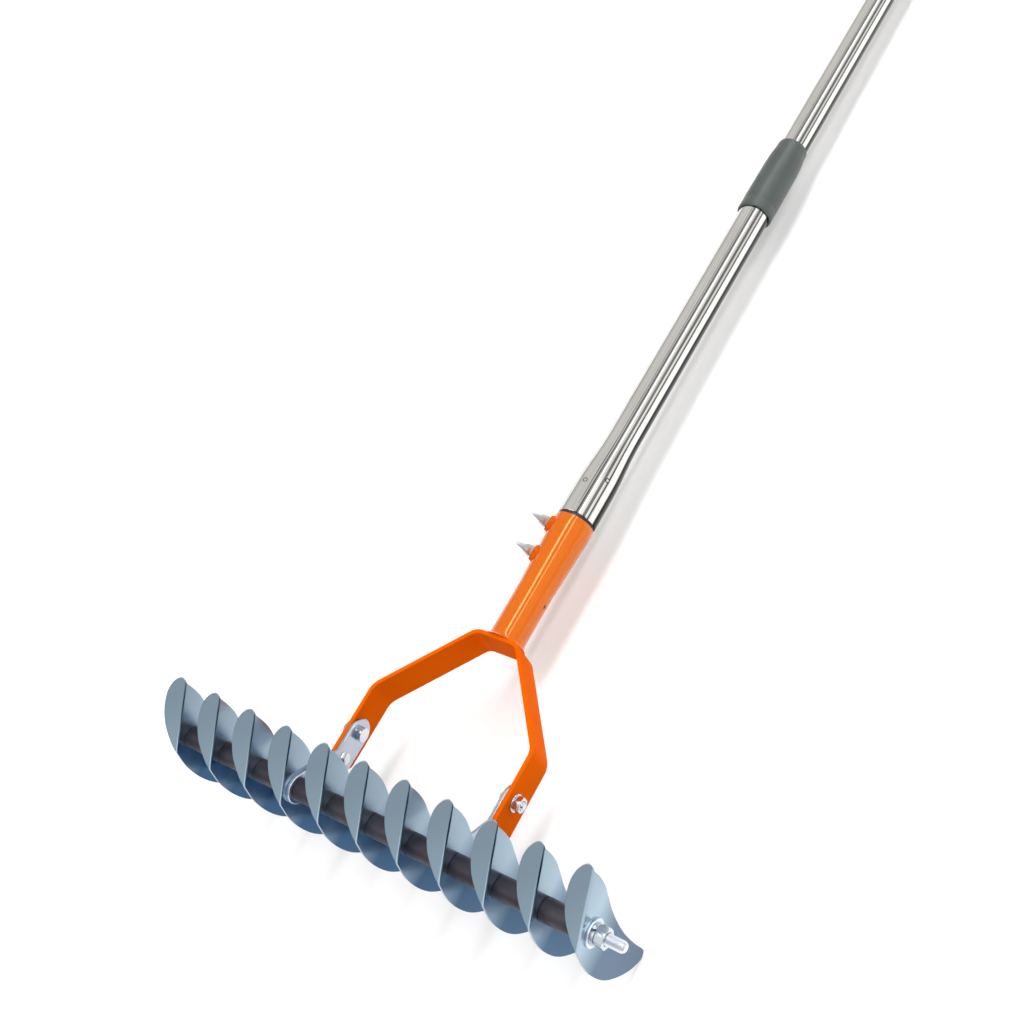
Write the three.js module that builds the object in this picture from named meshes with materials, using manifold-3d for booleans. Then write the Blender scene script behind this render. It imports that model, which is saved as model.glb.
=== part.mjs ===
// Lawn thatch rake, millimetres, +Z up, lying on its blades' short tips and the end of its handle.
// Tool frame: cross rod's centre at the origin, +X along the rod, +Y along the handle, +Z to the long tips.
import * as THREE from 'three';
import { mergeVertices } from 'three/addons/utils/BufferGeometryUtils.js';
import Module from 'manifold-3d';

const wasm = await Module();
wasm.setup();

// ---- driving dimensions ----
const BLADES = 11;
const PITCH = 34.5;
const SHEET = 1.6;                 // blade steel
const FOLD_TOP = [26, 35];         // fold line's ends in the blade's plane (Y, Z)
const FOLD_END = [-16, 3];
const FOLD_ANGLE = 58;             // degrees out of the plane, towards -X
const LEAF_WIDTH = 13;
const ROD_R = 4;
const ROD_HOLE_R = 4.4;
const ROD_STICK_OUT = 23;          // beyond the outer blades
const ROD_Z = -2;                  // rod's centre in the blades' plane
const SPACER_R = 8;
const BRACKET_T = 3;
const BRACKET_W = 22;
const BRACKET_KNEE = 34;           // where the bracket turns from the arm towards the rod
const PIVOT = [57, -28];           // pivot bolts' axis (Y, Z)
const RIVET = [36, -28];           // brackets' rivets' axis (Y, Z)
const BOLT_R = 3;
const BOLT_HOLE_R = 3.3;
const BOLT_FLATS = 10;
const ARM_END_Y = 33;
const ARM_CORNER = 5;
const HANDLE_Z = -31;              // bow's middle and the handle's axis
const BOW_T = 3;
const BOW_W = 28;
const BOW_TOP_HALF = 17.5;
const BOW_TOP_Y = 156.5;
const BOW_BEND_Y = 91;
const SOCKET_WALL = 1;
const SOCKET_R = 13.4;
const SOCKET_MOUTH_R = 15.6;
const SOCKET_CONE_Y = 205;
const SOCKET_MOUTH_Y = 265;
const SCREW_YS = [229, 255];
const SCREW_LEAN = 35;             // degrees the wing screws rise above -X
const WING_SPREAD = 9;
const WING_H = 13;
const WING_TURN = 112;             // degrees the ears stand turned from along the handle
const TUBE_WALL = 0.9;
const LOWER_R = 12.8;
const BELL_R = 15.4;
const BELL_Y0 = 266.6;
const BELL_Y = 303;
const LOWER_TOP_Y = 612;
const UPPER_R = 11.6;
const UPPER_Y0 = 482;
const UPPER_Y1 = 1404;
const COLLAR_Y0 = 578;
const COLLAR_Y1 = 655;
const COLLAR_R = 14.8;
const GRIP_Y0 = 1236;
const GRIP_Y1 = 1400;
const GRIP_R = 15.5;
const CAP_Y1 = 1440;
const GAP = 0.3;                   // running clearance

// ---- small tools ----
const deg = THREE.MathUtils.degToRad;
const zinc = new THREE.MeshStandardMaterial({ color: 0x9fb2c4, metalness: 1, roughness: 0.25 });
const dark = new THREE.MeshStandardMaterial({ color: 0x3a4250, metalness: 1, roughness: 0.4 });
const paint = new THREE.MeshStandardMaterial({ color: 0xf2660c, roughness: 0.35 });
const polished = new THREE.MeshStandardMaterial({ color: 0xd8dcde, metalness: 1, roughness: 0.12 });
const plastic = new THREE.MeshStandardMaterial({ color: 0x4a5650, roughness: 0.6 });
const rubber = new THREE.MeshStandardMaterial({ color: 0x202224, roughness: 0.9 });

function solid(geometry) {
  const bare = new THREE.BufferGeometry();
  bare.setAttribute('position', geometry.getAttribute('position').clone());
  if (geometry.index) bare.setIndex(geometry.index.clone());
  const merged = mergeVertices(bare, 1e-4);
  return new wasm.Manifold(new wasm.Mesh({
    numProp: 3,
    vertProperties: new Float32Array(merged.getAttribute('position').array),
    triVerts: new Uint32Array(merged.index.array),
  }));
}
function shape3(body) {
  const mesh = body.getMesh();
  const geometry = new THREE.BufferGeometry();
  geometry.setAttribute('position', new THREE.BufferAttribute(new Float32Array(mesh.vertProperties), 3));
  geometry.setIndex(new THREE.BufferAttribute(new Uint32Array(mesh.triVerts), 1));
  return geometry;
}
const join = (...geometries) => shape3(geometries.map(solid).reduce((a, b) => a.add(b)));
const cut = (geometry, ...tools) => shape3(tools.map(solid).reduce((a, b) => a.subtract(b), solid(geometry)));
const meet = (a, b) => shape3(solid(a).intersect(solid(b)));

function rodX(radius, x0, x1, y = 0, z = 0, sides = 20) {
  const g = new THREE.CylinderGeometry(radius, radius, x1 - x0, sides);
  g.rotateZ(-Math.PI / 2);
  return g.translate((x0 + x1) / 2, y, z);
}
function rodZ(radius, z0, z1, x = 0, y = 0, sides = 16) {
  const g = new THREE.CylinderGeometry(radius, radius, z1 - z0, sides);
  g.rotateX(Math.PI / 2);
  return g.translate(x, y, (z0 + z1) / 2);
}
function boxAt(sx, sy, sz, x, y, z) {
  return new THREE.BoxGeometry(sx, sy, sz).translate(x, y, z);
}
// a closed profile of [radius, y] turned about the handle's axis
function turned(profile, sides = 36) {
  const points = [...profile, profile[0]].map(([r, y]) => new THREE.Vector2(r, y));
  return new THREE.LatheGeometry(points, sides);
}
// a closed profile of [radius, x] turned about an axis along X
function turnedX(profile, y = 0, z = 0, sides = 20) {
  const points = [...profile, profile[0]].map(([r, x]) => new THREE.Vector2(r, x));
  const g = new THREE.LatheGeometry(points, sides);
  g.rotateZ(-Math.PI / 2);
  return g.translate(0, y, z);
}
function hexX(acrossFlats, x0, x1, y = 0, z = 0) {
  const r = acrossFlats / Math.sqrt(3);
  const block = new THREE.CylinderGeometry(r, r, x1 - x0, 6);
  block.rotateZ(-Math.PI / 2).translate((x0 + x1) / 2, y, z);
  const c = r * 0.16;
  const dome = turnedX([[0.01, x0], [r - c, x0], [r + 0.4, x0 + c + 0.2], [r + 0.4, x1 - c - 0.2], [r - c, x1], [0.01, x1]], y, z);
  return meet(block, dome);
}
function ringX(outer, inner, x0, x1, y = 0, z = 0, bevel = 0.25) {
  return turnedX([[inner, x0], [outer - bevel, x0], [outer, x0 + bevel], [outer, x1 - bevel], [outer - bevel, x1], [inner, x1]], y, z);
}
// sheet outline in (Y, Z), from x0 to x1
function plateX(points, x0, x1) {
  const outline = new THREE.Shape(points.map(([y, z]) => new THREE.Vector2(y, z)));
  const g = new THREE.ExtrudeGeometry(outline, { depth: x1 - x0, bevelEnabled: false });
  g.applyMatrix4(new THREE.Matrix4().makeBasis(
    new THREE.Vector3(0, 1, 0), new THREE.Vector3(0, 0, 1), new THREE.Vector3(1, 0, 0)));
  return g.translate(x0, 0, 0);
}
function smooth(points, count, tension = 0.5) {
  const curve = new THREE.CatmullRomCurve3(points.map(([a, b]) => new THREE.Vector3(a, b, 0)), false, 'catmullrom', tension);
  return curve.getPoints(count).map((p) => [p.x, p.y]);
}

const tool = new THREE.Group();
function node(name, geometry, material) {
  const mesh = new THREE.Mesh(geometry.index ? geometry : mergeVertices(geometry), material);
  mesh.name = name;
  tool.add(mesh);
  return mesh;
}

// ---- crescent blade: flat plate below the fold line, leaf bent over above it ----
const foldLength = Math.hypot(FOLD_TOP[0] - FOLD_END[0], FOLD_TOP[1] - FOLD_END[1]);
const foldDir = [(FOLD_TOP[0] - FOLD_END[0]) / foldLength, (FOLD_TOP[1] - FOLD_END[1]) / foldLength];
function bladeGeometry() {
  const hollow = smooth([FOLD_TOP, [26.4, 24], [25.4, 13], [22.4, 2], [18.4, -12], [15.6, -28], [14.2, -46], [14.8, -66], [16.4, -82]], 12);
  const tip = [[15.4, -86], [12.6, -88], [9.6, -87]];
  const back = smooth([[9.6, -87], [1, -79.5], [-8, -66.5], [-15.6, -50], [-19.2, -32], [-19.2, -14], FOLD_END], 10);
  const plate = plateX([...hollow, ...tip, ...back.slice(1)], -SHEET / 2, SHEET / 2);
  // leaf in fold coordinates: u along the fold, v away from it
  const edge = smooth([[0, 0], [8, 5.2], [20, 10.6], [32, LEAF_WIDTH], [43, 12.9], [50.5, 11], [55.4, 7.8], [57.2, 4.4], [56, 1.6], [foldLength, 0]], 17);
  const flat = plateX(edge.map(([u, v]) => [u, v]), -SHEET / 2, SHEET / 2);
  // columns: sheet normal, along the fold, across the leaf
  const along = new THREE.Vector3(0, foldDir[0], foldDir[1]);
  const outward = new THREE.Vector3(0, -foldDir[1], foldDir[0]);
  const across = outward.clone().multiplyScalar(Math.cos(deg(FOLD_ANGLE)))
    .add(new THREE.Vector3(-Math.sin(deg(FOLD_ANGLE)), 0, 0));
  const normal = new THREE.Vector3().crossVectors(along, across);
  const start = new THREE.Vector3(0, FOLD_END[0], FOLD_END[1]);
  flat.applyMatrix4(new THREE.Matrix4().makeBasis(normal, along, across).setPosition(start));
  const bend = new THREE.CylinderGeometry(SHEET / 2, SHEET / 2, foldLength - 1.2, 10);
  bend.applyMatrix4(new THREE.Matrix4().makeBasis(normal, along, across)
    .setPosition(start.clone().addScaledVector(along, foldLength / 2)));
  return cut(join(plate, bend, flat), rodX(ROD_HOLE_R, -10, 10, 0, ROD_Z));
}
const blade = bladeGeometry();
const bladeX = (i) => (i - (BLADES + 1) / 2) * PITCH;
for (let i = 1; i <= BLADES; i++) {
  node(`blade_${String(i).padStart(2, '0')}`, blade.clone().translate(bladeX(i), 0, 0), zinc);
}

// ---- rod, spacers and the nuts that close it ----
const endX = bladeX(BLADES) + SHEET / 2;
const rodEnd = endX + ROD_STICK_OUT;
node('head_rod', turnedX([[0.01, -rodEnd], [2.6, -rodEnd], [ROD_R, -rodEnd + 2.4], [ROD_R, rodEnd - 2.4], [2.6, rodEnd], [0.01, rodEnd]], 0, ROD_Z), zinc);
const armInner = Math.abs(bladeX(4)) - SHEET / 2;    // arms' inner faces, flush with the brackets' outer faces
for (let i = 1; i < BLADES; i++) {
  const x0 = bladeX(i) + SHEET / 2 + (i === 4 ? BRACKET_T : 0);
  const x1 = bladeX(i + 1) - SHEET / 2 - (i === BLADES - 4 ? BRACKET_T : 0);
  node(`spacer_tube_${String(i).padStart(2, '0')}`, ringX(SPACER_R, ROD_HOLE_R, x0, x1, 0, ROD_Z, 0.4), dark);
}
// built on the right; the left one is turned half a turn about Z's parallel through (Y, Z) = at
const sided = (s, g, at) => (s > 0 ? g : g.rotateY(Math.PI).translate(0, 0, 2 * at));
const sides = [['left', -1], ['right', 1]];
for (const [side, s] of sides) {
  node(`${side}_rod_washer`, sided(s, ringX(9.5, ROD_HOLE_R, endX, endX + 1.8, 0, ROD_Z), ROD_Z), zinc);
  const spring = cut(ringX(7.4, ROD_HOLE_R, endX + 1.8, endX + 4, 0, ROD_Z), boxAt(6, 1.6, 6, endX + 3, 0, ROD_Z + 7));
  node(`${side}_spring_washer`, sided(s, spring, ROD_Z), zinc);
  node(`${side}_hex_nut`, sided(s, cut(hexX(13, endX + 4, endX + 10.6, 0, ROD_Z), rodX(ROD_HOLE_R, 0, endX + 30, 0, ROD_Z)), ROD_Z), zinc);
}

// ---- brackets: flat along the bow's arms, then slanting to the rod ----
function arc([y, z], radius, from, to, count = 8) {
  return Array.from({ length: count + 1 }, (_, k) => {
    const a = deg(from + (to - from) * k / count);
    return [y + radius * Math.cos(a), z + radius * Math.sin(a)];
  });
}
function bracketOutline() {
  const half = BRACKET_W / 2;
  const slant = Math.atan2(ROD_Z - PIVOT[1], -BRACKET_KNEE) * 180 / Math.PI;
  const bend = (180 - slant) / 2;
  const inset = half * Math.tan(deg(bend));
  return [...arc(PIVOT, half, -90, 90), [BRACKET_KNEE + inset, PIVOT[1] + half],
    ...arc([0, ROD_Z], half, slant - 90, slant + 90), [BRACKET_KNEE - inset, PIVOT[1] - half]];
}
for (const [side, s] of sides) {
  const x0 = s > 0 ? armInner - BRACKET_T : -armInner;
  const g = cut(plateX(bracketOutline(), x0, x0 + BRACKET_T), rodX(ROD_HOLE_R, x0 - 5, x0 + 10, 0, ROD_Z),
    rodX(BOLT_HOLE_R, x0 - 5, x0 + 10, ...PIVOT), rodX(BOLT_HOLE_R, x0 - 5, x0 + 10, ...RIVET));
  node(`${side}_bracket`, g, zinc);
}
// hex bolt from the bracket's inner face out to x, and a nut
function hexBolt(x, at) {
  const headX = armInner - BRACKET_T;
  return join(hexX(BOLT_FLATS, headX - 4, headX, ...at),
    turnedX([[0.01, headX - 1], [BOLT_R, headX - 1], [BOLT_R, x - 0.8], [BOLT_R - 0.8, x], [0.01, x]], ...at));
}
const hexNut = (x, at) => cut(hexX(BOLT_FLATS, x, x + 5, ...at), rodX(BOLT_HOLE_R, 0, x + 20, ...at));
for (const [side, s] of sides) {
  const outer = armInner + BOW_T;
  node(`${side}_pivot_bolt`, sided(s, hexBolt(outer + 7.6, PIVOT), PIVOT[1]), zinc);
  node(`${side}_pivot_washer`, sided(s, ringX(6.4, BOLT_HOLE_R, outer, outer + 1.2, ...PIVOT), PIVOT[1]), zinc);
  node(`${side}_pivot_nut`, sided(s, hexNut(outer + 1.2, PIVOT), PIVOT[1]), zinc);
  // flush outside, so the arm passes over it
  const headX = armInner - BRACKET_T;
  node(`${side}_bracket_rivet`, sided(s, turnedX([[0.01, headX - 2.6], [2.6, headX - 2.4], [4.6, headX - 1.5], [5.4, headX],
    [BOLT_R, headX], [BOLT_R, armInner - 0.1], [0.01, armInner - 0.1]], ...RIVET), RIVET[1]), zinc);
}

// ---- bow: flat strap bent to a trapezium ----
function bowGeometry() {
  const armX = armInner + BOW_T / 2;
  const corners = [[-armX, ARM_END_Y], [-armX, BOW_BEND_Y], [-BOW_TOP_HALF, BOW_TOP_Y],
    [BOW_TOP_HALF, BOW_TOP_Y], [armX, BOW_BEND_Y], [armX, ARM_END_Y]].map(([x, y]) => new THREE.Vector2(x, y));
  const radii = [0, 14, 10, 10, 14, 0];
  const line = [];
  corners.forEach((c, i) => {
    if (!radii[i]) { line.push([c, null]); return; }
    const back = corners[i - 1].clone().sub(c).normalize();
    const ahead = corners[i + 1].clone().sub(c).normalize();
    const half = Math.acos(back.dot(ahead)) / 2;
    const setback = radii[i] / Math.tan(half);
    const centre = c.clone().addScaledVector(back.clone().add(ahead).normalize(), radii[i] / Math.sin(half));
    const a = c.clone().addScaledVector(back, setback).sub(centre);
    const b = c.clone().addScaledVector(ahead, setback).sub(centre);
    const sweep = Math.atan2(a.x * b.y - a.y * b.x, a.dot(b));
    for (let k = 0; k <= 8; k++) {
      const out = a.clone().rotateAround(new THREE.Vector2(0, 0), sweep * k / 8).normalize();
      line.push([centre.clone().addScaledVector(out, radii[i]), out]);
    }
  });
  const sideAt = (i, d) => {
    const [p, out] = line[i];
    // the arms' and bends' outward sides; the bends' centres all lie inside the bow
    const n = out ? out.clone() : new THREE.Vector2(Math.sign(p.x), 0);
    return p.clone().addScaledVector(n, d);
  };
  const ring = [];
  for (let i = 0; i < line.length; i++) ring.push(sideAt(i, BOW_T / 2));
  for (let i = line.length - 1; i >= 0; i--) ring.push(sideAt(i, -BOW_T / 2));
  const g = new THREE.ExtrudeGeometry(new THREE.Shape(ring), { depth: BOW_W, bevelEnabled: false });
  g.translate(0, 0, HANDLE_Z - BOW_W / 2);
  // arms' ends with rounded corners
  const [low, high] = [HANDLE_Z - BOW_W / 2, HANDLE_Z + BOW_W / 2];
  const rounded = plateX([...arc([ARM_END_Y + ARM_CORNER, high - ARM_CORNER], ARM_CORNER, 90, 180, 6),
    ...arc([ARM_END_Y + ARM_CORNER, low + ARM_CORNER], ARM_CORNER, 180, 270, 6), [400, low], [400, high]], -100, 100);
  return cut(meet(g, rounded), rodX(BOLT_HOLE_R, -100, 100, ...PIVOT));
}
node('bow_strap', bowGeometry(), paint);

// ---- everything on the handle's axis is turned about Y, then dropped to the bow's middle ----
const onAxis = (g) => g.translate(0, 0, HANDLE_Z);
const seat = BOW_TOP_Y + BOW_T / 2;
// turns a wing screw's parts from -X up to their lean
const leaning = (g) => g.rotateY(deg(SCREW_LEAN));
const screwHoles = SCREW_YS.map((y) => leaning(rodX(3.6, -40, -8, y, 0, 14)));
const socketOuter = (y) => (y < SOCKET_CONE_Y ? SOCKET_R
  : Math.min(SOCKET_MOUTH_R, SOCKET_R + (SOCKET_MOUTH_R - SOCKET_R) * (y - SOCKET_CONE_Y) / 50));
const socket = turned([[SOCKET_R + 2.4, seat], [SOCKET_R + 1, seat + 1.2], [SOCKET_R + 0.2, seat + 3.4], [SOCKET_R, seat + 7],
  [SOCKET_R, SOCKET_CONE_Y], [SOCKET_MOUTH_R, SOCKET_CONE_Y + 50], [SOCKET_MOUTH_R, SOCKET_MOUTH_Y - 0.4], [SOCKET_MOUTH_R - 0.4, SOCKET_MOUTH_Y],
  [SOCKET_MOUTH_R - SOCKET_WALL, SOCKET_MOUTH_Y], [SOCKET_MOUTH_R - SOCKET_WALL, SOCKET_CONE_Y + 50],
  [SOCKET_R - SOCKET_WALL, SOCKET_CONE_Y], [SOCKET_R - SOCKET_WALL, seat]]);
node('socket_tube', onAxis(cut(socket, ...screwHoles, rodX(1.2, -40, 40, 195, 0, 10))), paint);

// the lower tube's spigot runs inside the socket
function spigotOuter(y) {
  return socketOuter(y) - SOCKET_WALL - GAP;
}

// pointed ear: four-sided sections [height, from, to, half thickness] along -X, across Y
function horn(sections, x, y, side) {
  const points = [], faces = [];
  sections.forEach(([h, from, to, half]) => {
    const a = y + side * from, b = y + side * to;
    points.push([x - h, a, -half], [x - h, b, -half], [x - h, b, half], [x - h, a, half]);
  });
  const flip = side < 0;
  const quad = (a, b, c, d) => faces.push(...(flip ? [a, c, b, a, d, c] : [a, b, c, a, c, d]));
  quad(0, 1, 2, 3);
  for (let k = 0; k < sections.length - 1; k++) {
    for (let e = 0; e < 4; e++) {
      const f = (e + 1) % 4;
      quad(4 * k + e, 4 * k + 4 + e, 4 * k + 4 + f, 4 * k + f);
    }
  }
  const last = 4 * (sections.length - 1);
  quad(last + 3, last + 2, last + 1, last);
  const g = new THREE.BufferGeometry();
  g.setAttribute('position', new THREE.Float32BufferAttribute(points.flat(), 3));
  g.setIndex(faces);
  return g;
}
SCREW_YS.forEach((y, i) => {
  const tag = ['lower', 'upper'][i];
  const wall = socketOuter(y - 6);
  const faceX = -(wall + 2.4);
  // hex weld nut, its foot shaped to the socket
  const nut = cut(leaning(hexX(11, faceX, -wall + 2.5, y, 0)), socketPlug(y), leaning(rodX(3.5, -60, 0, y, 0, 14)));
  node(`${tag}_weld_nut`, onAxis(nut), paint);
  // wing screw: shank, hub and two pointed ears in one casting
  const tipX = -(spigotOuter(y) + 0.35);
  const hubX = faceX - 0.4;
  const shank = turnedX([[0.01, hubX - 1], [3, hubX - 1], [3, tipX - 0.8], [2.2, tipX], [0.01, tipX]], y, 0, 16);
  const hub = turnedX([[0.01, hubX - 6.6], [2.6, hubX - 6.6], [3.4, hubX - 5.6], [4.8, hubX - 0.8], [4.6, hubX], [0.01, hubX]], y, 0, 16);
  const sections = [[0.6, 0.2, 5.4, 3.9], [4, 1.2, 7.6, 2.9], [8, 3.6, 9, 1.9], [WING_H, 7.6, WING_SPREAD, 0.7]];
  const ears = join(horn(sections, hubX, y, 1), horn(sections, hubX, y, -1)).translate(0, -y, 0).rotateX(deg(WING_TURN)).translate(0, y, 0);
  node(`${tag}_wing_screw`, onAxis(leaning(join(shank, hub, ears))), zinc);
});

// the socket's outside as a solid, for shaping the weld nuts' feet
function socketPlug(y) {
  const lo = y - 12, hi = y + 12, points = [[0.01, lo]];
  for (let k = 0; k <= 12; k++) points.push([socketOuter(lo + (hi - lo) * k / 12) + 0.02, lo + (hi - lo) * k / 12]);
  points.push([0.01, hi]);
  return turned(points);
}
const spigotY = 198;
const spigotR = spigotOuter(SOCKET_MOUTH_Y);
const lower = [[spigotOuter(spigotY), spigotY], [spigotOuter(SOCKET_CONE_Y), SOCKET_CONE_Y], [spigotR, SOCKET_CONE_Y + 50], [spigotR, BELL_Y0],
  [BELL_R - 0.3, BELL_Y0], [BELL_R, BELL_Y0 + 0.4], [BELL_R - 0.1, BELL_Y], [BELL_R - 1.3, BELL_Y + 15],
  [LOWER_R + 0.1, BELL_Y + 36], [LOWER_R, BELL_Y + 42], [LOWER_R, LOWER_TOP_Y],
  [LOWER_R - TUBE_WALL, LOWER_TOP_Y], [LOWER_R - TUBE_WALL, BELL_Y + 36], [BELL_R - 1.5 - TUBE_WALL, BELL_Y + 15],
  [BELL_R - 0.1 - TUBE_WALL, BELL_Y], [BELL_R - 0.1 - TUBE_WALL, BELL_Y0 + 6], [spigotR - TUBE_WALL, BELL_Y0 + 3],
  [spigotR - TUBE_WALL, SOCKET_CONE_Y + 50], [spigotOuter(SOCKET_CONE_Y) - TUBE_WALL, SOCKET_CONE_Y], [spigotOuter(spigotY) - TUBE_WALL, spigotY]];
node('lower_tube', onAxis(turned(lower, 36)), polished);

// ---- clamping collar, its split sleeve, and the upper tube ----
const collarBore = LOWER_R + GAP;
node('collar', onAxis(turned([
  [collarBore, COLLAR_Y0], [COLLAR_R - 0.8, COLLAR_Y0], [COLLAR_R, COLLAR_Y0 + 1], [COLLAR_R, COLLAR_Y0 + 8],
  [COLLAR_R - 0.25, COLLAR_Y0 + 50], [COLLAR_R - 0.9, COLLAR_Y0 + 64], [COLLAR_R - 1.9, COLLAR_Y1 - 6], [UPPER_R + 1.3, COLLAR_Y1 - 0.6],
  [UPPER_R + 1, COLLAR_Y1], [UPPER_R + GAP, COLLAR_Y1], [UPPER_R + GAP, COLLAR_Y1 - 7], [collarBore, COLLAR_Y1 - 12]], 36)), plastic);
const sleeve = turned([[UPPER_R + 0.2, LOWER_TOP_Y + 0.5], [LOWER_R - 0.1, LOWER_TOP_Y + 0.5], [LOWER_R - 0.1, COLLAR_Y1 - 14], [UPPER_R + 0.2, COLLAR_Y1 - 14]], 32);
node('clamp_sleeve', onAxis(cut(sleeve, boxAt(2, 60, 10, 0, 630, 12))), dark);
node('upper_tube', onAxis(turned([[UPPER_R - TUBE_WALL, UPPER_Y0], [UPPER_R, UPPER_Y0], [UPPER_R, UPPER_Y1], [UPPER_R - TUBE_WALL, UPPER_Y1]], 36)), polished);
node('upper_tube_plug', onAxis(turned([[6, UPPER_Y0 - 6], [UPPER_R - 0.4, UPPER_Y0 - 6], [UPPER_R, UPPER_Y0 - 5], [UPPER_R, UPPER_Y0 - 0.05],
  [UPPER_R - TUBE_WALL - 0.1, UPPER_Y0 - 0.05], [UPPER_R - TUBE_WALL - 0.1, UPPER_Y0 + 18], [6, UPPER_Y0 + 18]], 32)), dark);

// ---- grip and end cap ----
const grip = [[UPPER_R + 0.1, GRIP_Y0], [GRIP_R - 2, GRIP_Y0], [GRIP_R - 0.4, GRIP_Y0 + 1.2], [GRIP_R, GRIP_Y0 + 4]];
for (let k = 0; k < 9; k++) {
  const y = GRIP_Y0 + 16 + k * 15.5;
  grip.push([GRIP_R, y], [GRIP_R - 0.9, y + 1.4], [GRIP_R - 0.9, y + 3.2], [GRIP_R, y + 4.6]);
}
grip.push([GRIP_R, GRIP_Y1 - 4], [GRIP_R - 0.6, GRIP_Y1], [UPPER_R + 0.1, GRIP_Y1]);
node('hand_grip', onAxis(turned(grip, 32)), rubber);
const cap = turned([[0.01, UPPER_Y1 + 0.05], [UPPER_R + 0.1, UPPER_Y1 + 0.05], [UPPER_R + 0.1, GRIP_Y1 + 0.1], [GRIP_R - 0.5, GRIP_Y1 + 0.1], [GRIP_R - 0.4, GRIP_Y1 + 12],
  [GRIP_R - 1.6, CAP_Y1 - 12], [GRIP_R - 5, CAP_Y1 - 3], [GRIP_R - 9, CAP_Y1], [0.01, CAP_Y1]], 32);
const slot = join(rodZ(4, -30, 30, -2.5, CAP_Y1 - 14), rodZ(4, -30, 30, 2.5, CAP_Y1 - 14), boxAt(5, 8, 60, 0, CAP_Y1 - 14, 0));
node('end_cap', onAxis(cut(cap, slot)), rubber);

// ---- lay the tool down: short tips and the cap's end on Z = 0 ----
const boxOf = (object) => new THREE.Box3().setFromObject(object, true);
function layDown(angle) {
  tool.rotation.x = angle;
  tool.position.set(0, 0, 0);
  tool.updateMatrixWorld(true);
  const low = (name) => boxOf(tool.getObjectByName(name)).min.z;
  return low('blade_06') - Math.min(low('hand_grip'), low('end_cap'));
}
let a0 = deg(-4), a1 = 0;
for (let k = 0; k < 30; k++) {
  const mid = (a0 + a1) / 2;
  if (layDown(mid) > 0) a0 = mid; else a1 = mid;
}
layDown((a0 + a1) / 2);
const lying = boxOf(tool);
tool.position.set(0, -(lying.min.y + lying.max.y) / 2, -lying.min.z);
tool.name = 'thatch_rake';
const rake = new THREE.Group();
rake.name = 'thatch_rake_lying';
rake.add(tool);
export default rake;
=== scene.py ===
import math
import bpy
import bmesh
from mathutils import Euler, Matrix, Vector


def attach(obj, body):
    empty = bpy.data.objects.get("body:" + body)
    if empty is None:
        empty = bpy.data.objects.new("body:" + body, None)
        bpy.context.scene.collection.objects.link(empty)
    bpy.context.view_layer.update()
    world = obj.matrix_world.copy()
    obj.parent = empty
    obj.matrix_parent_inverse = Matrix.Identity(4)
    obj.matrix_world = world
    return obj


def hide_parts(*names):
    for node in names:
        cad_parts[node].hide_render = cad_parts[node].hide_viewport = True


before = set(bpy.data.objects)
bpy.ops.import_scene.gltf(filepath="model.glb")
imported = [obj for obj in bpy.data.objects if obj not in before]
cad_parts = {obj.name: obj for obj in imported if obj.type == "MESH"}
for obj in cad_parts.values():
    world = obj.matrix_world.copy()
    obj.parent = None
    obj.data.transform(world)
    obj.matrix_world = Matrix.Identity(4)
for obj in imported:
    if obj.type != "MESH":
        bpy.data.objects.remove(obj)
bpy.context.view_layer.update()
MM = 0.001

# ---- dimensions, millimetres, in the tool's own frame ----
# X runs along the cross rod, Y up the handle and Z towards the blades' tops; the middle blade is at X = 0
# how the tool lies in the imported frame
LIE_ANGLE = -0.029932461980266927
LIE_SHIFT = (0.0, -709.1496886871624, 88.33767375989837)
TOOL = (Matrix.Translation(Vector(LIE_SHIFT) * MM) @ Matrix.Rotation(LIE_ANGLE, 4, "X")
        @ Matrix.Scale(MM, 4))

SIDES = (("left", -1), ("right", 1))
GAP = 0.02                                # keeps touching faces apart

# blades; points on a blade are (Y, Z)
BLADES, MIDDLE_BLADE, PITCH, SHEET = 11, 6, 34.5, 1.6
FOLD_TOP, FOLD_END, FOLD_ANGLE = (26.0, 35.0), (-16.0, 3.0), math.radians(58)
BEND_R = 2.0
BLADE_HOLLOW = [FOLD_TOP, (26.4, 24), (25.4, 13), (22.4, 2), (18.4, -12), (15.6, -28), (14.2, -46),
                (14.8, -66), (16.4, -82), (15.6, -85.6), (12.8, -87.6)]
BLADE_BACK = [FOLD_END, (-19.15, -14), (-19.15, -32), (-15.6, -50), (-8, -66.5), (1, -79.5),
              (9.4, -86.6), (12.8, -87.6)]
# the leaf's free edge from FOLD_END to FOLD_TOP: (along the fold, out from it)
LEAF_EDGE = [(0, 0), (8, 5.2), (20, 10.6), (32, 13.0), (43, 12.9), (50.4, 11), (55.2, 7.8),
             (56.8, 4.4), (55.7, 1.6)]

# cross rod (M8) and what is on it
ROD_R, ROD_Z, ROD_STUB, ROD_THREAD = 4.0, -2.0, 23, 27
SPACER_R, BORE_R = 8.0, 4.4
WASHER_R, WASHER_T = 9.5, 1.8
SPRING_R, SPRING_T = 7.4, 2.0
ROD_NUT_FLATS, ROD_NUT_FROM, ROD_NUT_TO = 13, 4, 10.6

# brackets, pivots (M6) and rivets; PIVOT and RIVET are (Y, Z)
BRACKET_BLADES = (4, 8)                   # each bracket stands against the inner face of one of these
BRACKET_T, BRACKET_HALF, BRACKET_KNEE_Y = 3.0, 11.0, 34.0
PIVOT, RIVET = (57.0, -28.0), (36.0, -28.0)
BOLT_R, BOLT_FLATS, BOLT_HEAD = 3.0, 10, 4
PIVOT_WASHER_R, PIVOT_WASHER_T, PIVOT_NUT_T = 6.4, 1.2, 5.0
M8 = {"pitch": 1.25, "depth": 0.62, "sides": 36}
M6 = {"pitch": 1.0, "depth": 0.5, "sides": 32}

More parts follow.
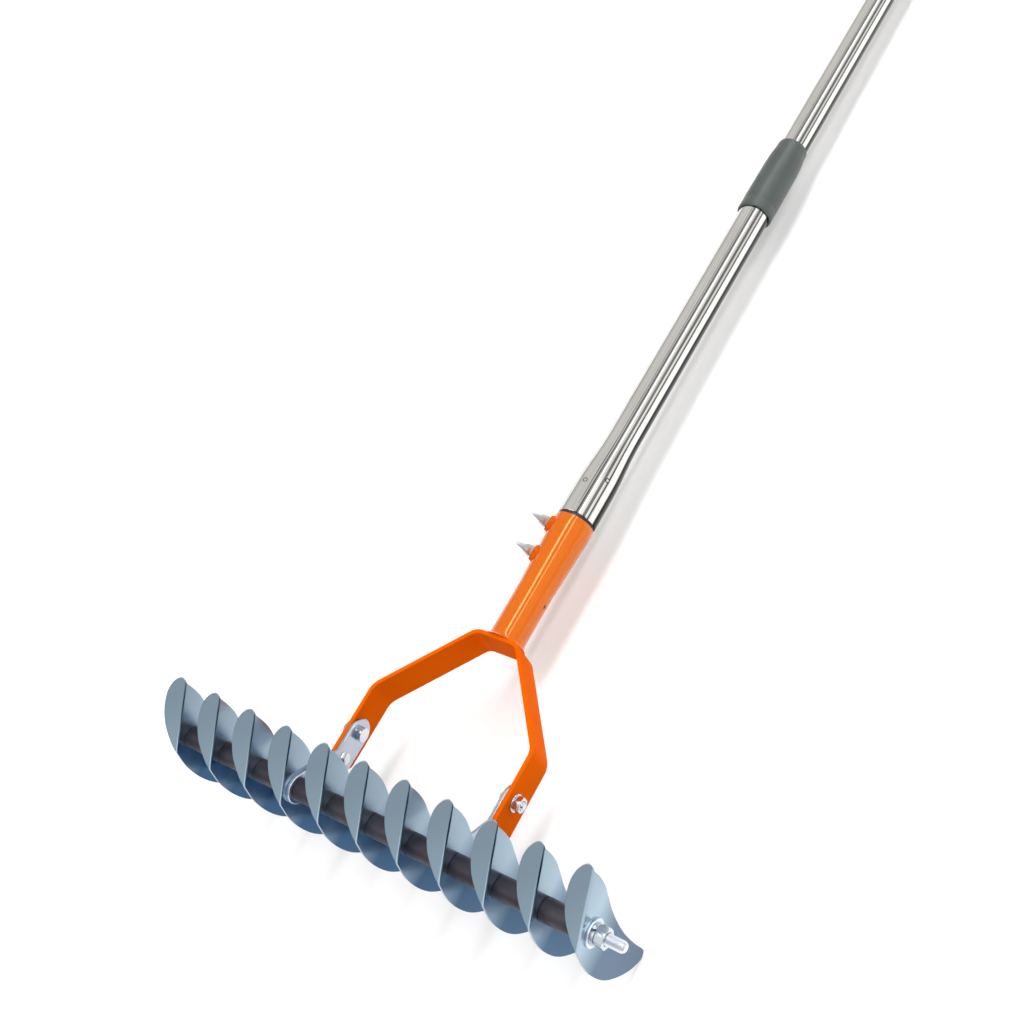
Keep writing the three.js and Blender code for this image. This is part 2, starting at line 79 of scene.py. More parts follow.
# bow
STRAP_T, STRAP_W = 3.0, 28.0
ARM_END, ARM_CORNER = 33.0, 5.0
BOW_SHOULDER_Y, BOW_TOP_Y, BOW_TOP_HALF = 91, 156.5, 17.5
BOW_SHOULDER_R, BOW_TOP_R = 14, 10

# socket and wing screws
AXIS_Z = -31.0                            # the handle's axis
SEAT_Y, MOUTH_Y, SOCKET_R, MOUTH_R = 158.0, 265, 13.4, 15.6
FLARE_Y, FLARE_LENGTH, SOCKET_WALL = 205, 50, 1.3
PIN_HOLE_Y = 195
SCREWS = (("lower", 229.0), ("upper", 255.0))
SCREW_LEAN, WING_TURN = math.radians(35), math.radians(112)

# handle
LOWER_FROM, BELL_FROM, LOWER_TO = 198, 267.6, 612
LOWER_R, LOWER_BORE, BELL_R = 12.8, 11.9, 15.4
DIMPLES = ((295.0, 97.0), (302.0, 39.0))  # (Y, degrees round the tube)
UPPER_FROM, UPPER_TO, UPPER_R, UPPER_BORE = 482, 1404, 11.6, 10.7
GRIP_R, GRIP_RIBS, GRIP_RIB_PITCH = 15.5, 18, 8
CAP_SLOT_Y, CAP_SLOT_HALF, CAP_SLOT_R = 1426, 2.5, 4.0

AT_ROD = (0, 0, ROD_Z)
AT_PIVOT = (0, *PIVOT)
AT_RIVET = (0, *RIVET)
AT_AXIS = (0, 0, AXIS_Z)


# ---- materials; scales are per metre and depths in metres ----
NOISE_ROUGHNESS = 0.55
RANDOM_SPREAD = (3.7, 2.3, 4.1)           # moves the noise on from one piece to the next
SCRATCH_DEPTH, WAVE_SCALE, WAVE_DEPTH = 0.00002, 9, 0.004
PAINTED_SHADE_HEIGHT, PAINTED_SHADE_WANDER = 0.14, 0.02   # the height over which a blade's painted shade and painted reflection change, and its wander
MIX_FACTOR, MIX_A, MIX_B, MIX_RESULT = 0, 6, 7, 2


def feed(t, socket, value):
    """Links a node's output to the socket, or sets the socket to a plain value."""
    if isinstance(value, bpy.types.NodeSocket):
        t.links.new(value, socket)
    else:
        socket.default_value = value


def calculate(t, operation, *values):
    node = t.nodes.new("ShaderNodeMath")
    node.operation = operation
    for socket, value in zip(node.inputs, values):
        feed(t, socket, value)
    return node.outputs[0]


def mix_colours(t, blend, factor, a, b):
    node = t.nodes.new("ShaderNodeMix")
    node.data_type = "RGBA"
    node.blend_type = blend
    for index, value in ((MIX_FACTOR, factor), (MIX_A, a), (MIX_B, b)):
        feed(t, node.inputs[index], value)
    return node.outputs[MIX_RESULT]


def split_coordinates(t, output):
    """X, Y and Z of one output of the Texture Coordinate node."""
    coord = t.nodes.new("ShaderNodeTexCoord")
    split = t.nodes.new("ShaderNodeSeparateXYZ")
    t.links.new(coord.outputs[output], split.inputs[0])
    return split.outputs


def shader(name):
    """A material, its tree, its shader, and object coordinates shifted by a random amount per object."""
    m = bpy.data.materials.new(name)
    m.use_nodes = True
    t = m.node_tree
    coord = t.nodes.new("ShaderNodeTexCoord")
    info = t.nodes.new("ShaderNodeObjectInfo")
    spread = t.nodes.new("ShaderNodeVectorMath")
    spread.operation = "MULTIPLY_ADD"
    spread.inputs[1].default_value = RANDOM_SPREAD
    t.links.new(info.outputs["Random"], spread.inputs[0])
    t.links.new(coord.outputs["Object"], spread.inputs[2])
    return m, t, t.nodes["Principled BSDF"], spread.outputs[0]


def noise(t, where, scale, detail, stretch=(1, 1, 1)):
    mapping = t.nodes.new("ShaderNodeMapping")
    mapping.inputs["Scale"].default_value = stretch
    t.links.new(where, mapping.inputs["Vector"])
    n = t.nodes.new("ShaderNodeTexNoise")
    n.inputs["Scale"].default_value = scale
    n.inputs["Detail"].default_value = detail
    n.inputs["Roughness"].default_value = NOISE_ROUGHNESS
    t.links.new(mapping.outputs[0], n.inputs["Vector"])
    return n.outputs["Fac"]


def ramp(t, fac, *stops):
    r = t.nodes.new("ShaderNodeValToRGB")
    elements = r.color_ramp.elements
    while len(elements) < len(stops):
        elements.new(0.5)
    for element, (position, colour) in zip(elements, stops):
        element.position = position
        element.color = (*colour, 1)
    t.links.new(fac, r.inputs[0])
    return r.outputs[0]


def grey(v):
    return (v, v, v)


def scaled(colour, factor):
    return tuple(c * factor for c in colour)


def bump(t, bsdf, *layers):
    """Bump nodes in a chain, one for each (height, distance, strength)."""
    last = None
    for fac, distance, strength in layers:
        b = t.nodes.new("ShaderNodeBump")
        b.inputs["Distance"].default_value = distance
        b.inputs["Strength"].default_value = strength
        t.links.new(fac, b.inputs["Height"])
        if last:
            t.links.new(last, b.inputs["Normal"])
        last = b.outputs[0]
    t.links.new(last, bsdf.inputs["Normal"])


def metal(name, dark, light, rough, scratch=0.25, wave=0.0, stretch=(1, 1, 1), grain=900):
    """Bare or plated metal, mottled from dark to light, with fine scratches and, if asked, slow waves."""
    m, t, bsdf, where = shader(name)
    bsdf.inputs["Metallic"].default_value = 1.0
    tone = ramp(t, noise(t, where, 26, 6), (0.3, dark), (0.7, light))
    t.links.new(tone, bsdf.inputs["Base Color"])
    cloudy = ramp(t, noise(t, where, 60, 5), (0.3, grey(rough * 0.75)), (0.75, grey(rough * 1.35)))
    t.links.new(cloudy, bsdf.inputs["Roughness"])
    layers = [(noise(t, where, grain, 3, stretch), SCRATCH_DEPTH, scratch)]
    if wave:
        layers.append((noise(t, where, WAVE_SCALE, 2), WAVE_DEPTH, wave))
    bump(t, bsdf, *layers)
    return m


def coated(name, base, deep, rough, coat=0.0, peel=(0.0004, 420, 0.12), spec=0.5, tint=(1, 1, 1)):
    """Paint or plastic; peel is its skin's (depth, scale, strength)."""
    m, t, bsdf, where = shader(name)
    tone = ramp(t, noise(t, where, 14, 5), (0.25, deep), (0.75, base))
    t.links.new(tone, bsdf.inputs["Base Color"])
    cloudy = ramp(t, noise(t, where, 90, 4), (0.3, grey(rough * 0.85)), (0.7, grey(rough * 1.2)))
    t.links.new(cloudy, bsdf.inputs["Roughness"])
    bsdf.inputs["Coat Weight"].default_value = coat
    bsdf.inputs["Coat Roughness"].default_value = 0.03
    bsdf.inputs["Specular Tint"].default_value = (*tint, 1)
    bsdf.inputs["Specular IOR Level"].default_value = spec
    depth, scale, strength = peel
    bump(t, bsdf, (noise(t, where, scale, 3), depth, strength), (noise(t, where, 40, 2), 0.001, 0.05))
    return m


def sheet(name, low, high, rough):
    """Plated blue sheet with painted shade and painted reflection: darker blue towards the foot of the
    blade, lighter higher up.
    """
    m, t, bsdf, where = shader(name)
    bsdf.inputs["Metallic"].default_value = 1.0
    height = split_coordinates(t, "Object")["Z"]
    wander = calculate(t, "MULTIPLY_ADD", noise(t, where, 7, 3), PAINTED_SHADE_WANDER, height)
    share = calculate(t, "DIVIDE", wander, PAINTED_SHADE_HEIGHT)
    # painted shade low on the blade, painted reflection of the bright surroundings higher up
    tone = ramp(t, share, (0.0, low), (0.5, low), (0.72, scaled(high, 1.08)), (0.92, scaled(high, 0.86)))
    t.links.new(tone, bsdf.inputs["Base Color"])
    cloudy = ramp(t, noise(t, where, 60, 5), (0.3, grey(rough * 0.8)), (0.75, grey(rough * 1.3)))
    t.links.new(cloudy, bsdf.inputs["Roughness"])
    bump(t, bsdf, (noise(t, where, 900, 3, (1, 1, 0.15)), SCRATCH_DEPTH, 0.12),
         (noise(t, where, WAVE_SCALE, 2), WAVE_DEPTH, 0.05))
    return m


def paint_reflection_bands(m):
    """Drawn tube with painted reflections: light and dark streaks of painted reflection and shade run
    along it, set by the way each part of the tube faces.
    """
    # (degrees round the tube from +X towards +Z, brightness of the painted reflection there)
    reflection_bands = [(-180, 0.7), (-120, 0.95), (-60, 0.4), (-38, 0.02), (9, 0.02), (11, 0.7), (16, 1.0),
             (31.5, 1.0), (32.5, 0.1), (35.3, 0.1), (36.2, 1.0), (42.5, 1.0), (44, 0.2), (51, 0.25),
             (53, 1.0), (60, 1.0), (61.5, 0.3), (64.5, 0.5), (67, 0.8), (68.5, 0.06), (77, 0.06),
             (78.5, 1.0), (88, 0.9), (93, 1.0), (112, 0.95), (120, 0.8), (143, 0.45), (180, 0.7)]
    t = m.node_tree
    base = t.nodes["Principled BSDF"].inputs["Base Color"]
    plain = base.links[0].from_socket
    facing = split_coordinates(t, "Normal")
    angle = calculate(t, "ARCTAN2", facing["Z"], facing["X"])
    share = calculate(t, "MULTIPLY_ADD", angle, 0.5 / math.pi, 0.5)
    tone = ramp(t, share, *[((a / 360) + 0.5, (v, v * 0.985, v * 0.955)) for a, v in reflection_bands])
    t.links.new(mix_colours(t, "MULTIPLY", 1.0, plain, tone), base)


# both carry painted shade and painted reflection; the end blade's copy has less painted shade at its
# foot, as no neighbour stands beside it
ZINC_SHEET = sheet("zinc_sheet", (0.052, 0.130, 0.245), (0.345, 0.46, 0.555), 0.2)
ZINC_SHEET_END_LIT = sheet("zinc_sheet_end_lit", (0.085, 0.15, 0.235), (0.35, 0.465, 0.56), 0.2)
ZINC_EDGE = metal("zinc_edge", (0.30, 0.36, 0.42), (0.42, 0.48, 0.54), 0.34, 0.3)
ZINC_BOLT = metal("zinc_bolt", (0.62, 0.67, 0.73), (0.78, 0.82, 0.86), 0.2, 0.2)
ZINC_CAST = metal("zinc_cast", (0.50, 0.51, 0.51), (0.66, 0.67, 0.67), 0.36, 0.35, 0.05)
ZINC_STRAP = metal("zinc_strap", (0.44, 0.50, 0.58), (0.54, 0.60, 0.68), 0.26, 0.2, 0.04)
# dark steel of the spacers, also used as painted shade round the bell's dimples
SPACER_AND_SHADE = metal("spacer_steel_and_painted_shade", (0.050, 0.046, 0.056), (0.088, 0.080, 0.094), 0.46, 0.3,
               stretch=(1, 0.1, 0.1))
POLISHED_PAINTED_REFLECTIONS = metal("polished_tube", (0.84, 0.84, 0.83), (0.92, 0.92, 0.91), 0.06, 0.10, 0.06,
                 stretch=(1, 0.05, 1), grain=1400)
# painted reflections: the polished tubes get light and dark streaks in their colour
paint_reflection_bands(POLISHED_PAINTED_REFLECTIONS)
PAINT = coated("orange_powder_coat", (0.74, 0.115, 0.0), (0.69, 0.097, 0.0), 0.4, 0.04, spec=0.0)
GLOSS_PAINT = coated("orange_gloss_coat", (0.66, 0.122, 0.0), (0.61, 0.105, 0.0), 0.05, spec=0.9,
                     tint=(1.0, 0.75, 0.35))
WELD = coated("orange_weld", (0.62, 0.10, 0.0), (0.54, 0.075, 0.0), 0.4, 0.2, (0.001, 200, 0.3), 0.1)
PLASTIC = coated("collar_plastic", (0.075, 0.092, 0.085), (0.055, 0.068, 0.062), 0.42,
                 peel=(0.0003, 700, 0.25), spec=0.4)
# black plastic, also used as painted shade in the socket's mouth gap and the pin holes
INNER_AND_SHADE = coated("inner_plastic", (0.02, 0.02, 0.021), (0.012, 0.012, 0.013), 0.5,
               peel=(0.0003, 600, 0.2))
RUBBER = coated("grip_rubber", (0.022, 0.022, 0.024), (0.013, 0.013, 0.014), 0.72,
                peel=(0.0005, 800, 0.4), spec=0.3)


# ---- geometry helpers: a shape is (points, faces), in tool millimetres, laid down by TOOL ----
def laid_mesh(name, shape, closed=True):
    verts, faces = shape
    mesh = bpy.data.meshes.new(name)
    mesh.from_pydata([tuple(TOOL @ Vector(v)) for v in verts], [], faces)
    bm = bmesh.new()
    bm.from_mesh(mesh)
    bmesh.ops.remove_doubles(bm, verts=bm.verts, dist=1e-6)
    if closed:
        bmesh.ops.recalc_face_normals(bm, faces=bm.faces)
    bm.to_mesh(mesh)
    bm.free()
    return mesh


def linked(name, data):
    obj = bpy.data.objects.new(name, data)
    bpy.context.collection.objects.link(obj)
    return obj


def piece(name, shape, material, body, node=None, bevel=0.0, segments=2, sharp=35,
          thick=0.0, rim=None):
    """One visible piece. A thick piece is an open sheet made solid; its cut edge has the rim material."""
    mesh = laid_mesh(name, shape, closed=not thick)
    mesh.materials.append(material)
    obj = linked(name, mesh)
    if thick:
        mesh.materials.append(rim)
        mod = obj.modifiers.new("thick", "SOLIDIFY")
        mod.thickness = thick * MM
        mod.offset = 0
        mod.use_even_offset = True
        mod.material_offset_rim = 1
    if bevel:
        mod = obj.modifiers.new("bevel", "BEVEL")
        mod.width = bevel * MM
        mod.segments = segments
        mod.limit_method = "ANGLE"
        mod.angle_limit = math.radians(40)
        mod.harden_normals = True
    mesh.shade_smooth()
    if not bevel:
        mesh.set_sharp_from_angle(angle=math.radians(sharp))
    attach(obj, body)
    if node:
        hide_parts(node)
    return obj


def skin(rows, columns, loop=False):
    """Faces over rows of points, each row closed on itself; loop joins the last row to the first."""
    faces = []
    for row in range(rows if loop else rows - 1):
        a, b = row * columns, (row + 1) % rows * columns
        for i in range(columns):
            j = (i + 1) % columns
            faces.append((a + i, a + j, b + j, b + i))
    return faces


def end_faces(rows, columns):
    last = (rows - 1) * columns
    return [tuple(range(columns)), tuple(range(last, last + columns))]


def patch(rows, columns, first=0):
    """Faces of an open grid of cells."""
    wide = columns + 1
    corners = [first + row * wide + i for row in range(rows) for i in range(columns)]
    return [(a, a + 1, a + wide + 1, a + wide) for a in corners]


def extruded(count):
    """Faces of a solid between two copies of an outline."""
    faces = [tuple(range(count)), tuple(range(2 * count - 1, count - 1, -1))]
    return faces + [(i, (i + 1) % count, count + (i + 1) % count, count + i) for i in range(count)]


def ring_x(x, y, z, radius, sides):
    """A ring of points about a line along X; the radius is a function of the angle."""
    angles = [2 * math.pi * k / sides for k in range(sides)]
    return [(x, y + radius(a) * math.cos(a), z + radius(a) * math.sin(a)) for a in angles]


def lathe(profile, sides, at=AT_AXIS, along="Y"):
    """A closed profile of (radius, distance) turned about a line along X or Y."""
    verts = []
    for k in range(sides):
        a = 2 * math.pi * k / sides
        for r, d in profile:
            c, s = r * math.cos(a), r * math.sin(a)
            across, forward = (c, d) if along == "Y" else (d, c)
            verts.append((at[0] + across, at[1] + forward, at[2] + s))
    return verts, skin(sides, len(profile), loop=True)


def tube_profile(inner, outer, start, stop):
    return [(inner, start), (outer, start), (outer, stop), (inner, stop)]


def rounded(profile, radius, steps=3):
    """Rounds the corners of a closed (radius, distance) profile; points on the axis stay."""
    out, n = [], len(profile)
    for i, p in enumerate(profile):
        a, b, c = Vector(profile[i - 1]), Vector(p), Vector(profile[(i + 1) % n])
        u, w = a - b, c - b
        short = u.length < 1e-6 or w.length < 1e-6
        if p[0] < 0.05 or short or abs(u.normalized().cross(w.normalized())) < 0.08:
            out.append(tuple(b))
            continue
        r = min(radius, u.length * 0.45, w.length * 0.45)
        p0, p2 = b + u.normalized() * r, b + w.normalized() * r
        for k in range(steps + 1):
            f = k / steps
            out.append(tuple(p0 * (1 - f) ** 2 + b * 2 * f * (1 - f) + p2 * f * f))
    return out


def prism(outline, x0, x1):
    """(Y, Z) outline between two X planes."""
    return [(x, y, z) for x in (x0, x1) for y, z in outline], extruded(len(outline))


def merge(*parts):
    verts, faces = [], []
    for v, f in parts:
        base = len(verts)
        verts += v
        faces += [tuple(i + base for i in face) for face in f]
    return verts, faces


def moved(part, matrix):
    return [tuple(matrix @ Vector(v)) for v in part[0]], part[1]


def turned(part, angle, axis, centre):
    move = (Matrix.Translation(centre) @ Matrix.Rotation(angle, 4, axis)
            @ Matrix.Translation([-c for c in centre]))
    return moved(part, move)


def mirror_x(part):
    return [(-x, y, z) for x, y, z in part[0]], [tuple(reversed(f)) for f in part[1]]


def on_side(part, sign):
    """A part made for the right side, mirrored if it goes on the left."""
    return mirror_x(part) if sign < 0 else part


def spline(points, count):
    """Catmull-Rom through the points, evenly spread in parameter."""
    pts = [Vector(p) for p in points]
    pts = [pts[0] * 2 - pts[1]] + pts + [pts[-1] * 2 - pts[-2]]
    spans, out = len(pts) - 3, []
    for k in range(count + 1):
        u = min(k / count * spans, spans - 1e-9)
        i, f = int(u), u - int(u)
        a, b, c, d = pts[i:i + 4]
        out.append(0.5 * ((2 * b) + (c - a) * f + (2 * a - 5 * b + 4 * c - d) * f * f
                          + (3 * b - a - 3 * c + d) * f ** 3))
    return out


def arc(centre, radius, start, stop, count=24):
    """Points on an arc between two angles in degrees."""
    angles = [math.radians(start + (stop - start) * k / count) for k in range(count + 1)]
    return [(centre[0] + radius * math.cos(a), centre[1] + radius * math.sin(a)) for a in angles]


def hexagon(flats, x0, x1, y, z, bore=0.0):
    """Hex nut or head along X with its corners chamfered by a cone at both ends."""
    r, n = flats / math.sqrt(3), 72
    cham = r * 0.16
    rings = [(x0, 1.0), (x0 + cham * 0.35, 0.45), (x0 + cham, 0.0),
             (x1 - cham, 0.0), (x1 - cham * 0.35, 0.45), (x1, 1.0)]

    def side(a):
        """How far the hexagon's side is from its axis at an angle."""
        return flats / 2 / math.cos((a + math.pi / 6) % (math.pi / 3) - math.pi / 6)

    verts = []
    for x, lift in rings:
        verts += ring_x(x, y, z, lambda a: min(side(a), r - cham * 1.1 * lift), n)
    faces = skin(len(rings), n)
    if not bore:
        return verts, faces + end_faces(len(rings), n)
    base, last, lip = len(verts), (len(rings) - 1) * n, 0.5
    bore_rings = [(x0, bore + lip), (x0 + 0.6, bore), (x1 - 0.6, bore), (x1, bore + lip)]
    for x, radius in bore_rings:
        verts += ring_x(x, y, z, lambda a: radius, n)
    for k in range(n):
        m = (k + 1) % n
        faces.append((k, m, base + m, base + k))
        faces.append((last + k, last + m, base + 3 * n + m, base + 3 * n + k))
        for start in (base, base + n, base + 2 * n):
            faces.append((start + k, start + m, start + n + m, start + n + k))
    return verts, faces


def threaded(radius, x0, x1, y, z, pitch, depth, sides):
    """A screw thread along X as one helical skin, with a chamfered tip at x1."""
    rows_per_turn, tip_length, tip_slope = 8, 2.0, 0.62
    rows = int(round((x1 - x0) / pitch * rows_per_turn))
    verts = []
    for j in range(rows + 1):
        x = x0 + (x1 - x0) * j / rows
        widest = radius - max(0.0, tip_length - (x1 - x)) * tip_slope

        def reach(a):
            phase = ((x / pitch) - a / (2 * math.pi)) % 1.0
            return min(radius - depth * (1 - abs(2 * phase - 1)) ** 0.9, widest)

        verts += ring_x(x, y, z, reach, sides)
    return verts, skin(rows + 1, sides) + end_faces(rows + 1, sides)


# ---- blades ----
def blade_x(number):
    return (number - MIDDLE_BLADE) * PITCH


def blade_surface():
    """The mid surface of one blade, at X = 0: a flat crescent and a leaf bent over along the fold line.
    The two share the fold line, where piece() welds them."""
    plate_rows, plate_columns = 60, 14
    leaf_rows, leaf_columns, edge_steps = 12, 30, 90
    long_part, tip_part = 0.82, 0.18      # of the leaf's free edge: its long side, and its blunt tip

    hollow, back = spline(BLADE_HOLLOW, plate_rows), spline(BLADE_BACK, plate_rows)
    verts = []
    for near, far in zip(hollow, back):
        for j in range(plate_columns + 1):
            p = near.lerp(far, j / plate_columns)
            verts.append((0.0, p.x, p.y))
    faces = patch(plate_rows, plate_columns)

    fold = Vector(FOLD_TOP) - Vector(FOLD_END)
    length = fold.length
    fold.normalize()
    along, out, left = Vector((0, fold.x, fold.y)), Vector((0, -fold.y, fold.x)), Vector((-1, 0, 0))
    start = Vector((0, *FOLD_END))
    bend = BEND_R * FOLD_ANGLE
    edge = spline(LEAF_EDGE + [(length, 0)], edge_steps)
    outer = [edge[round(edge_steps * (1 - (1 - i / leaf_columns)) * long_part)]
             for i in range(leaf_columns + 1)]
    tip = [edge[round(edge_steps * (long_part + tip_part * (1 - j / leaf_rows)))]
           for j in range(leaf_rows + 1)]
    faces += patch(leaf_rows, leaf_columns, len(verts))
    for j in range(leaf_rows + 1):
        for i in range(leaf_columns + 1):
            f = i / leaf_columns
            p = Vector((length * i / leaf_columns, 0)).lerp(outer[i], j / leaf_rows)
            p = p.lerp(tip[j], f ** 6)
            # round the bend, then straight
            w = max(0.0, p.y)
            a = w / BEND_R if w < bend else FOLD_ANGLE
            q = out * (BEND_R * math.sin(a)) + left * (BEND_R * (1 - math.cos(a)))
            if w >= bend:
                q += (out * math.cos(FOLD_ANGLE) + left * math.sin(FOLD_ANGLE)) * (w - bend)
            verts.append(tuple(start + along * p.x + q))
    return verts, faces


blade = blade_surface()
for i in range(1, BLADES + 1):
    piece(f"blade_{i:02d}_sheet", moved(blade, Matrix.Translation((blade_x(i), 0, 0))),
          ZINC_SHEET if i < BLADES else ZINC_SHEET_END_LIT, "head", f"blade_{i:02d}",
          bevel=0.3, thick=SHEET, rim=ZINC_EDGE)


# ---- rod, spacers and end fasteners ----
def spring_washer(x0):
    """One turn of square wire, its ends cut on a slant and sprung apart."""
    steps, clear = 60, 0.1
    wire = tube_profile(BORE_R, SPRING_R, clear, clear + SPRING_T)
    verts = []
    for k in range(steps + 1):
        a = math.radians(8 + 344 * k / steps)
        lift = 0.25 * (k / steps - 0.5)
        for r, d in wire:
            slant = 0.28 * (d - 1.1) / 7
            verts.append((x0 + d + lift * 0.3, r * math.sin(a + slant), ROD_Z + r * math.cos(a + slant)))
    return verts, skin(steps + 1, len(wire)) + end_faces(steps + 1, len(wire))


end_x = blade_x(BLADES) + SHEET / 2
rod_end = end_x + ROD_STUB
core_end = rod_end - ROD_THREAD + 1       # the plain core runs 1 mm into each thread
core = lathe(tube_profile(0.01, ROD_R - 0.35, -core_end, core_end), 40, AT_ROD, "X")
thread = threaded(ROD_R, rod_end - ROD_THREAD, rod_end, 0, ROD_Z, **M8)
piece("head_rod_steel", merge(core, thread, mirror_x(thread)), ZINC_BOLT, "head", "head_rod")
for i in range(1, BLADES):
    x0 = blade_x(i) + SHEET / 2 + (BRACKET_T if i == BRACKET_BLADES[0] else 0)
    x1 = blade_x(i + 1) - SHEET / 2 - (BRACKET_T if i + 1 == BRACKET_BLADES[1] else 0)
    profile = rounded(tube_profile(BORE_R, SPACER_R, x0, x1), 0.5)
    piece(f"spacer_{i:02d}_tube", lathe(profile, 64, AT_ROD, "X"), SPACER_AND_SHADE, "head",
          f"spacer_tube_{i:02d}")
washer = rounded(tube_profile(BORE_R, WASHER_R, end_x, end_x + WASHER_T), 0.35)
for side, sign in SIDES:
    piece(f"{side}_rod_flat_washer", on_side(lathe(washer, 64, AT_ROD, "X"), sign), ZINC_BOLT,
          "head", f"{side}_rod_washer")
    piece(f"{side}_spring_ring", on_side(spring_washer(end_x + WASHER_T), sign), ZINC_BOLT,
          "head", f"{side}_spring_washer", bevel=0.2)
    nut = hexagon(ROD_NUT_FLATS, end_x + ROD_NUT_FROM, end_x + ROD_NUT_TO, 0, ROD_Z, bore=4.25)
    piece(f"{side}_rod_nut", on_side(nut, sign), ZINC_BOLT, "head", f"{side}_hex_nut",
          sharp=25)


# ---- brackets, their rivets and the pivot bolts ----
def bracket_outline():
    """Round the pivot, bent at a knee, and round the rod, in (Y, Z)."""
    slope = math.degrees(math.atan2(ROD_Z - PIVOT[1], -BRACKET_KNEE_Y))
    inset = BRACKET_HALF * math.tan(math.radians((180 - slope) / 2))
    top_knee = tuple(Vector((BRACKET_KNEE_Y + inset, PIVOT[1] + BRACKET_HALF)))
    low_knee = tuple(Vector((BRACKET_KNEE_Y - inset, PIVOT[1] - BRACKET_HALF)))
    return (arc(PIVOT, BRACKET_HALF, -90, 90) + [top_knee]
            + arc((0, ROD_Z), BRACKET_HALF, slope - 90, slope + 90) + [low_knee])


arm_inner = blade_x(BRACKET_BLADES[1]) - SHEET / 2
arm_outer = arm_inner + STRAP_T
head_x = arm_inner - BRACKET_T
washer_x = arm_outer + PIVOT_WASHER_T
dome = [(0.01, head_x - 2.6), (1.6, head_x - 2.55), (3.0, head_x - 2.25), (4.2, head_x - 1.65),
        (5.0, head_x - 0.9), (5.4, head_x - 0.1), (5.3, head_x), (3, head_x), (3, arm_inner - 0.1),
        (0.01, arm_inner - 0.1)]
flat = rounded(tube_profile(BOLT_R + 0.3, PIVOT_WASHER_R, arm_outer, washer_x), 0.25)
for side, sign in SIDES:
    x0 = -arm_inner if sign < 0 else head_x
    piece(f"{side}_bracket_strap", prism(bracket_outline(), x0 + GAP, x0 + BRACKET_T - GAP),
          ZINC_STRAP, "head", f"{side}_bracket", bevel=0.7, segments=4)
    head = hexagon(BOLT_FLATS, head_x - BOLT_HEAD, head_x - GAP, *PIVOT)
    stem = threaded(BOLT_R, head_x - 0.5, arm_outer + 7.6, *PIVOT, **M6)
    piece(f"{side}_pivot_screw", on_side(merge(head, stem), sign), ZINC_BOLT, "frame",
          f"{side}_pivot_bolt", sharp=25)
    piece(f"{side}_rivet_dome", on_side(lathe(dome, 56, AT_RIVET, "X"), sign), ZINC_BOLT, "head",
          f"{side}_bracket_rivet", sharp=40)
    piece(f"{side}_pivot_flat_washer", on_side(lathe(flat, 56, AT_PIVOT, "X"), sign), ZINC_BOLT,
          "frame", f"{side}_pivot_washer")
    nut = hexagon(BOLT_FLATS, washer_x, washer_x + PIVOT_NUT_T, *PIVOT, bore=3.2)
    piece(f"{side}_pivot_hex", on_side(nut, sign), ZINC_BOLT, "frame", f"{side}_pivot_nut",
          sharp=25)


# ---- bow ----
def bow():
    """The strap swept along its middle line, its arms' ends rounded off."""
    turn_steps, end_steps = 12, 12
    arm, half_w, half_t = arm_inner + STRAP_T / 2, STRAP_W / 2, STRAP_T / 2
    arm_start = PIVOT[0] + 0.5
    corners = [(-arm, arm_start), (-arm, BOW_SHOULDER_Y), (-BOW_TOP_HALF, BOW_TOP_Y),
               (BOW_TOP_HALF, BOW_TOP_Y), (arm, BOW_SHOULDER_Y), (arm, arm_start)]
    radii = [0, BOW_SHOULDER_R, BOW_TOP_R, BOW_TOP_R, BOW_SHOULDER_R, 0]
    line = []
    for i, (corner, radius) in enumerate(zip(corners, radii)):
        c = Vector(corner)
        if not radius:
            line.append((c, Vector((math.copysign(1, c.x), 0)), 1.0))
            continue
        b = (Vector(corners[i - 1]) - c).normalized()
        f = (Vector(corners[i + 1]) - c).normalized()
        half = math.acos(b.dot(f)) / 2
        centre = c + (b + f).normalized() * (radius / math.sin(half))
        p0 = c + b * (radius / math.tan(half)) - centre
        p1 = c + f * (radius / math.tan(half)) - centre
        sweep = math.atan2(p0.x * p1.y - p0.y * p1.x, p0.dot(p1))
        for k in range(turn_steps + 1):
            a = math.atan2(p0.y, p0.x) + sweep * k / turn_steps
            n = Vector((math.cos(a), math.sin(a)))
            line.append((centre + n * radius, n, 1.0))
    angles = [math.radians(90 * k / end_steps) for k in range(end_steps + 1)]
    ends = [(ARM_END + ARM_CORNER * (1 - math.cos(a)), 1 - ARM_CORNER * (1 - math.sin(a)) / half_w)
            for a in angles]
    left = [(Vector((-arm, y)), Vector((-1, 0)), h) for y, h in ends]
    right = [(Vector((arm, y)), Vector((1, 0)), h) for y, h in reversed(ends)]
    line = left + line + right
    verts = []
    for p, n, h in line:
        lo, hi = AXIS_Z - h * STRAP_W / 2, AXIS_Z + h * STRAP_W / 2
        for d, z in ((-half_t, lo), (half_t, lo), (half_t, hi), (-half_t, hi)):
            q = p + n * d
            verts.append((q.x, q.y, z))
    return verts, skin(len(line), 4) + end_faces(len(line), 4)


piece("bow_steel", bow(), PAINT, "frame", "bow_strap", bevel=0.6, segments=3)


# ---- socket with its weld bead ----
def socket_r(y):
    """The socket's outer radius: plain, then flared to its mouth."""
    if y < FLARE_Y:
        return SOCKET_R
    return min(MOUTH_R, SOCKET_R + (MOUTH_R - SOCKET_R) * (y - FLARE_Y) / FLARE_LENGTH)


def socket_bead():
    """A rippled bead round the socket's seat, no wider than the strap."""
    ring, section, radius, most_z = 160, 10, 15.2, 12.6
    verts = []
    for k in range(ring):
        a = 2 * math.pi * k / ring
        ripple = 0.22 * abs(math.sin(a * 17)) + 0.12 * math.sin(a * 5 + 1)
        for j in range(section):
            b = 2 * math.pi * j / section
            r = radius + (1.1 + ripple) * math.cos(b)
            y = SEAT_Y + 0.2 + (0.75 + ripple) * math.sin(b)
            z = max(-most_z, min(most_z, r * math.sin(a)))
            verts.append((r * math.cos(a), y, AXIS_Z + z))
    return verts, skin(ring, section, loop=True)


